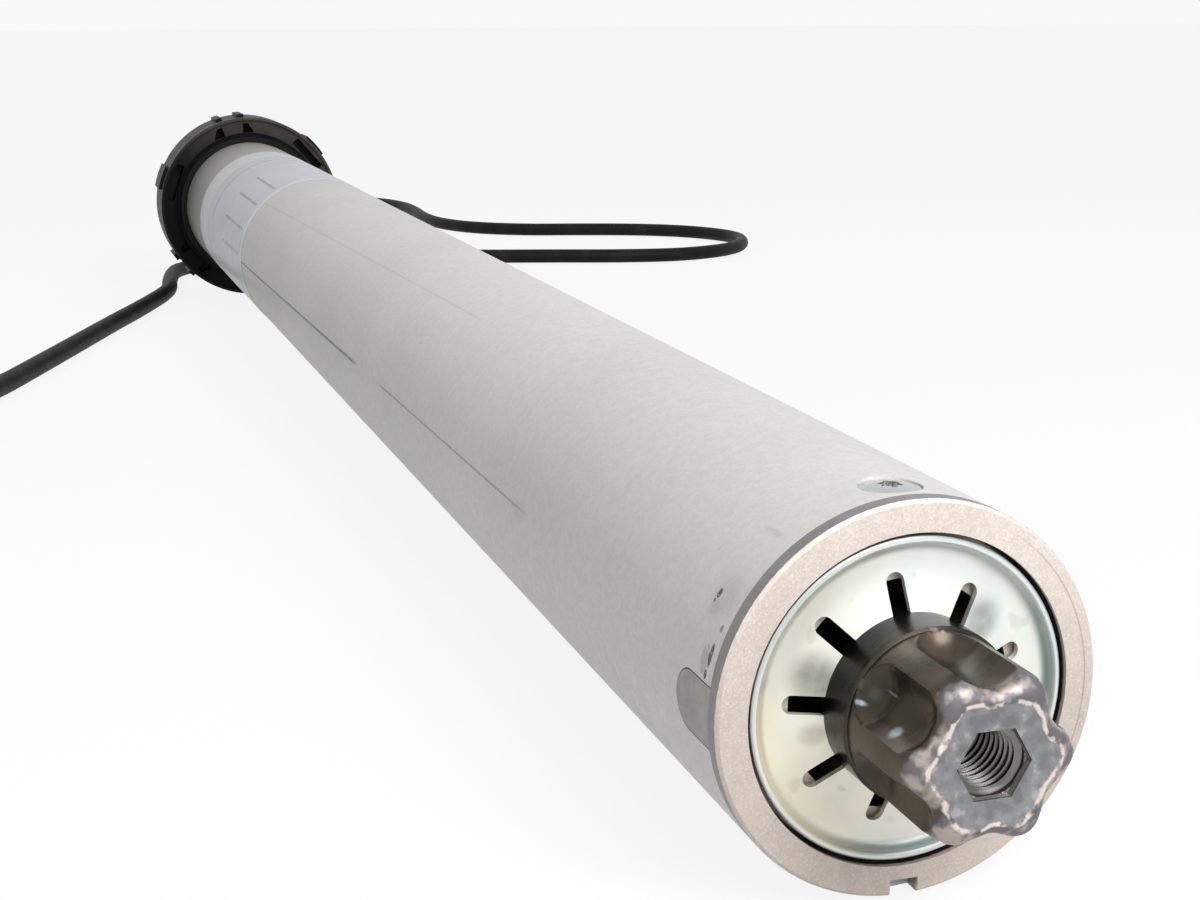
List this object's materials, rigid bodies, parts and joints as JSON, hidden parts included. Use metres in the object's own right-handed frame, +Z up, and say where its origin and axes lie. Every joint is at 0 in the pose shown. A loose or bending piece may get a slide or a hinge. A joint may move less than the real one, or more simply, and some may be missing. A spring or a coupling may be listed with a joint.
{
  "type": "tubular roller blind motor",
  "caption": "Tubular motor for a roller blind: painted steel tube with a fluted output shaft at one end and a fixed head with an idler crown and mains lead at the other.",
  "frame": {"origin": "centre of the head's mounting face, on the tube's axis", "axes": "+X along the tube towards the output shaft, +Z up as it lies on a table"},
  "size_m": [1.1156, 0.5129, 0.0909],
  "materials": {
    "tube_paint": "matt light grey paint",
    "cast_zinc": "grainy zinc casting",
    "plated_sheet": "passivated zinc plate",
    "dark_steel": "oiled sintered steel",
    "bright_steel": "bright",
    "black_plastic": "moulded",
    "black_steel": "blackened",
    "yellow_plastic": "moulded",
    "white_plastic": "moulded",
    "ivory_plastic": "moulded",
    "die_casting": "as cast",
    "gear_steel": "greased",
    "laminations": "stacked sheet",
    "copper": "enamelled wire",
    "brake_lining": "friction lining",
    "bronze": "sintered",
    "cord_rubber": "black sheath",
    "tie_plastic": "soft strip",
    "wire_cover": "core insulation"
  },
  "bodies": {
    "housing": {"motor_tube": "tube_paint", "end_ring": "cast_zinc", "tube_screws": "bright_steel", "crown_clip": "black_steel", "head_body": "black_plastic", "mounting_plate": "plated_sheet", "plate_screws": "bright_steel", "cable_gland": "cord_rubber", "limit_frame": "ivory_plastic", "microswitches": "black_plastic", "capacitor": "white_plastic", "capacitor_rings": "black_plastic", "brake_housing": "die_casting", "brake_coil": "copper", "brake_spring": "bright_steel", "rear_flange": "die_casting", "rear_bearing": "bright_steel", "stator_core": "laminations", "stator_windings": "copper", "front_flange": "die_casting", "front_bearing": "bright_steel", "gear_housing": "gear_steel", "gear_cover": "die_casting", "output_bush": "bronze", "cord": "cord_rubber", "cord_coil": "cord_rubber", "coil_tie": "tie_plastic", "cord_tail": "cord_rubber", "wire_ends": "wire_cover", "wire_tips": "copper"},
    "output": {"output_shaft": "dark_steel", "retaining_plate": "plated_sheet", "carrier_3": "gear_steel", "planet_pins_3": "bright_steel"},
    "stage_2": {"carrier_2": "gear_steel", "planet_pins_2": "bright_steel"},
    "stage_1": {"carrier_1": "gear_steel", "planet_pins_1": "bright_steel"},
    "rotor": {"rotor_shaft": "bright_steel", "rotor_core": "laminations", "sun_gear": "gear_steel", "brake_disc": "brake_lining"},
    "crown": {"crown": "black_plastic"},
    "limit_pinion": {"limit_pinion": "ivory_plastic"},
    "counter_gear": {"counter_gear": "ivory_plastic"},
    "cam_wheel": {"cam_wheel": "ivory_plastic"},
    "adjust_screw_up": {"adjust_screw_up": "yellow_plastic"},
    "adjust_screw_down": {"adjust_screw_down": "white_plastic"},
    "brake_armature": {"brake_armature": "black_steel"},
    "planet_3a": {"planet_3a": "gear_steel"},
    "planet_3b": {"planet_3b": "gear_steel"},
    "planet_3c": {"planet_3c": "gear_steel"},
    "planet_2a": {"planet_2a": "gear_steel"},
    "planet_2b": {"planet_2b": "gear_steel"},
    "planet_2c": {"planet_2c": "gear_steel"},
    "planet_1a": {"planet_1a": "gear_steel"},
    "planet_1b": {"planet_1b": "gear_steel"},
    "planet_1c": {"planet_1c": "gear_steel"}
  },
  "joints": [
    {"name": "output_spin", "type": "hinge", "parent": "housing", "child": "output", "pos_m": [0.7, 0, 0], "axis": [1, 0, 0], "continuous": true},
    {"name": "stage_2_spin", "type": "hinge", "parent": "housing", "child": "stage_2", "pos_m": [0.5955, 0, 0], "axis": [1, 0, 0], "continuous": true},
    {"name": "stage_1_spin", "type": "hinge", "parent": "housing", "child": "stage_1", "pos_m": [0.5685, 0, 0], "axis": [1, 0, 0], "continuous": true},
    {"name": "rotor_spin", "type": "hinge", "parent": "housing", "child": "rotor", "pos_m": [0.427, 0, 0], "axis": [1, 0, 0], "continuous": true},
    {"name": "planet_3a_spin", "type": "hinge", "parent": "output", "child": "planet_3a", "pos_m": [0.613, 0.015, 0], "axis": [1, 0, 0], "continuous": true},
    {"name": "planet_3b_spin", "type": "hinge", "parent": "output", "child": "planet_3b", "pos_m": [0.613, -0.0075, 0.01299], "axis": [1, 0, 0], "continuous": true},
    {"name": "planet_3c_spin", "type": "hinge", "parent": "output", "child": "planet_3c", "pos_m": [0.613, -0.0075, -0.01299], "axis": [1, 0, 0], "continuous": true},
    {"name": "planet_2a_spin", "type": "hinge", "parent": "stage_2", "child": "planet_2a", "pos_m": [0.582, 0.015, 0], "axis": [1, 0, 0], "continuous": true},
    {"name": "planet_2b_spin", "type": "hinge", "parent": "stage_2", "child": "planet_2b", "pos_m": [0.582, -0.0075, 0.01299], "axis": [1, 0, 0], "continuous": true},
    {"name": "planet_2c_spin", "type": "hinge", "parent": "stage_2", "child": "planet_2c", "pos_m": [0.582, -0.0075, -0.01299], "axis": [1, 0, 0], "continuous": true},
    {"name": "planet_1a_spin", "type": "hinge", "parent": "stage_1", "child": "planet_1a", "pos_m": [0.558, 0.015, 0], "axis": [1, 0, 0], "continuous": true},
    {"name": "planet_1b_spin", "type": "hinge", "parent": "stage_1", "child": "planet_1b", "pos_m": [0.558, -0.0075, 0.01299], "axis": [1, 0, 0], "continuous": true},
    {"name": "planet_1c_spin", "type": "hinge", "parent": "stage_1", "child": "planet_1c", "pos_m": [0.558, -0.0075, -0.01299], "axis": [1, 0, 0], "continuous": true},
    {"name": "crown_spin", "type": "hinge", "parent": "housing", "child": "crown", "pos_m": [0.0232, 0, 0], "axis": [1, 0, 0], "continuous": true},
    {"name": "limit_pinion_spin", "type": "hinge", "parent": "housing", "child": "limit_pinion", "pos_m": [0.06, 0.024, 0], "axis": [1, 0, 0], "continuous": true},
    {"name": "counter_gear_spin", "type": "hinge", "parent": "housing", "child": "counter_gear", "pos_m": [0.06, 0.01171, 0.0086], "axis": [1, 0, 0], "continuous": true},
    {"name": "cam_wheel_spin", "type": "hinge", "parent": "housing", "child": "cam_wheel", "pos_m": [0.06, -0.00388, -0.0004], "axis": [1, 0, 0], "continuous": true},
    {"name": "adjust_up_turn", "type": "hinge", "parent": "housing", "child": "adjust_screw_up", "pos_m": [0.03, 0.008, 0.02], "axis": [1, 0, 0], "continuous": true},
    {"name": "adjust_down_turn", "type": "hinge", "parent": "housing", "child": "adjust_screw_down", "pos_m": [0.03, -0.008, 0.02], "axis": [1, 0, 0], "continuous": true},
    {"name": "brake_release", "type": "slide", "parent": "housing", "child": "brake_armature", "axis": [-1, 0, 0], "range_m": [0, 0.0005], "stiffness_N_per_m": 2000}
  ],
  "couplings": [
    {"joint": "stage_2_spin", "follows": "output_spin", "ratio": 5},
    {"joint": "stage_1_spin", "follows": "output_spin", "ratio": 25},
    {"joint": "rotor_spin", "follows": "output_spin", "ratio": 125},
    {"joint": "planet_3a_spin", "follows": "output_spin", "ratio": -2.6667},
    {"joint": "planet_3b_spin", "follows": "output_spin", "ratio": -2.6667},
    {"joint": "planet_3c_spin", "follows": "output_spin", "ratio": -2.6667},
    {"joint": "planet_2a_spin", "follows": "output_spin", "ratio": -13.333},
    {"joint": "planet_2b_spin", "follows": "output_spin", "ratio": -13.333},
    {"joint": "planet_2c_spin", "follows": "output_spin", "ratio": -13.333},
    {"joint": "planet_1a_spin", "follows": "output_spin", "ratio": -66.667},
    {"joint": "planet_1b_spin", "follows": "output_spin", "ratio": -66.667},
    {"joint": "planet_1c_spin", "follows": "output_spin", "ratio": -66.667},
    {"joint": "limit_pinion_spin", "follows": "crown_spin", "ratio": 3},
    {"joint": "counter_gear_spin", "follows": "crown_spin", "ratio": -0.75},
    {"joint": "cam_wheel_spin", "follows": "crown_spin", "ratio": 0.15}
  ]
}
